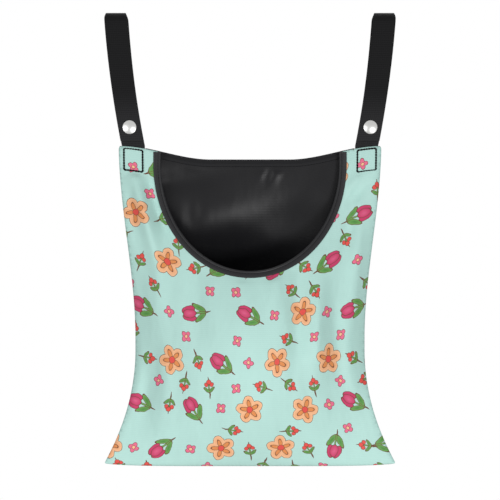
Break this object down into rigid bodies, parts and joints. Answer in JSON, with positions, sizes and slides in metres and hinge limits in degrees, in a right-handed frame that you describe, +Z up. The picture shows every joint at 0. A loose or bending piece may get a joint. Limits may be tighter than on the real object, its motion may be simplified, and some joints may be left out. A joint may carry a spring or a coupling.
{
  "type": "hanging peg bag",
  "caption": "Hanging cloth peg bag with a bound U-shaped mouth in its front panel and webbing straps that loop over a rail and close with press studs.",
  "frame": {"origin": "on the axis of the rail that the straps hang on, midway between the straps", "axes": "+X to the right seen from the front and along the rail, +Y to the back, +Z up; the printed front with the mouth faces -Y"},
  "size_m": [0.321, 0.1154, 0.4983],
  "materials": {
    "printed_cloth": "woven cloth printed with small flowers on a mint ground",
    "black_cloth": "smooth black woven cloth with a faint sheen",
    "black_tape": "folded black binding tape",
    "black_webbing": "flat woven black webbing",
    "black_thread": "black sewing thread",
    "nickel": "satin nickel plate",
    "spring_steel": "drawn spring wire"
  },
  "bodies": {
    "straps": {"left_strap_run": "black_webbing", "right_strap_run": "black_webbing", "left_snap_stud": "nickel", "right_snap_stud": "nickel", "left_snap_post": "nickel", "right_snap_post": "nickel"},
    "bag": {"front_panel": "printed_cloth", "back_panel": "black_cloth", "outer_seam": "black_tape", "mouth_binding": "black_tape", "back_hem_binding": "black_tape", "left_strap_tab": "black_webbing", "right_strap_tab": "black_webbing", "left_box_stitch": "black_thread", "right_box_stitch": "black_thread"},
    "left_flap": {"left_strap_flap": "black_webbing", "left_snap_cap": "nickel", "left_snap_socket": "nickel", "left_snap_spring": "spring_steel"},
    "right_flap": {"right_strap_flap": "black_webbing", "right_snap_cap": "nickel", "right_snap_socket": "nickel", "right_snap_spring": "spring_steel"}
  },
  "joints": [
    {"name": "bag_swing", "type": "hinge", "parent": "straps", "child": "bag", "pos_m": [0, 0, -0.134], "axis": [1, 0, 0], "range_deg": [-40, 40]},
    {"name": "left_flap_open", "type": "hinge", "parent": "straps", "child": "left_flap", "pos_m": [-0.1474, -0.00103, 0.012], "axis": [-1, 0, 0], "range_deg": [0, 150]},
    {"name": "right_flap_open", "type": "hinge", "parent": "straps", "child": "right_flap", "pos_m": [0.1474, -0.00103, 0.012], "axis": [-1, 0, 0], "range_deg": [0, 150]}
  ]
}
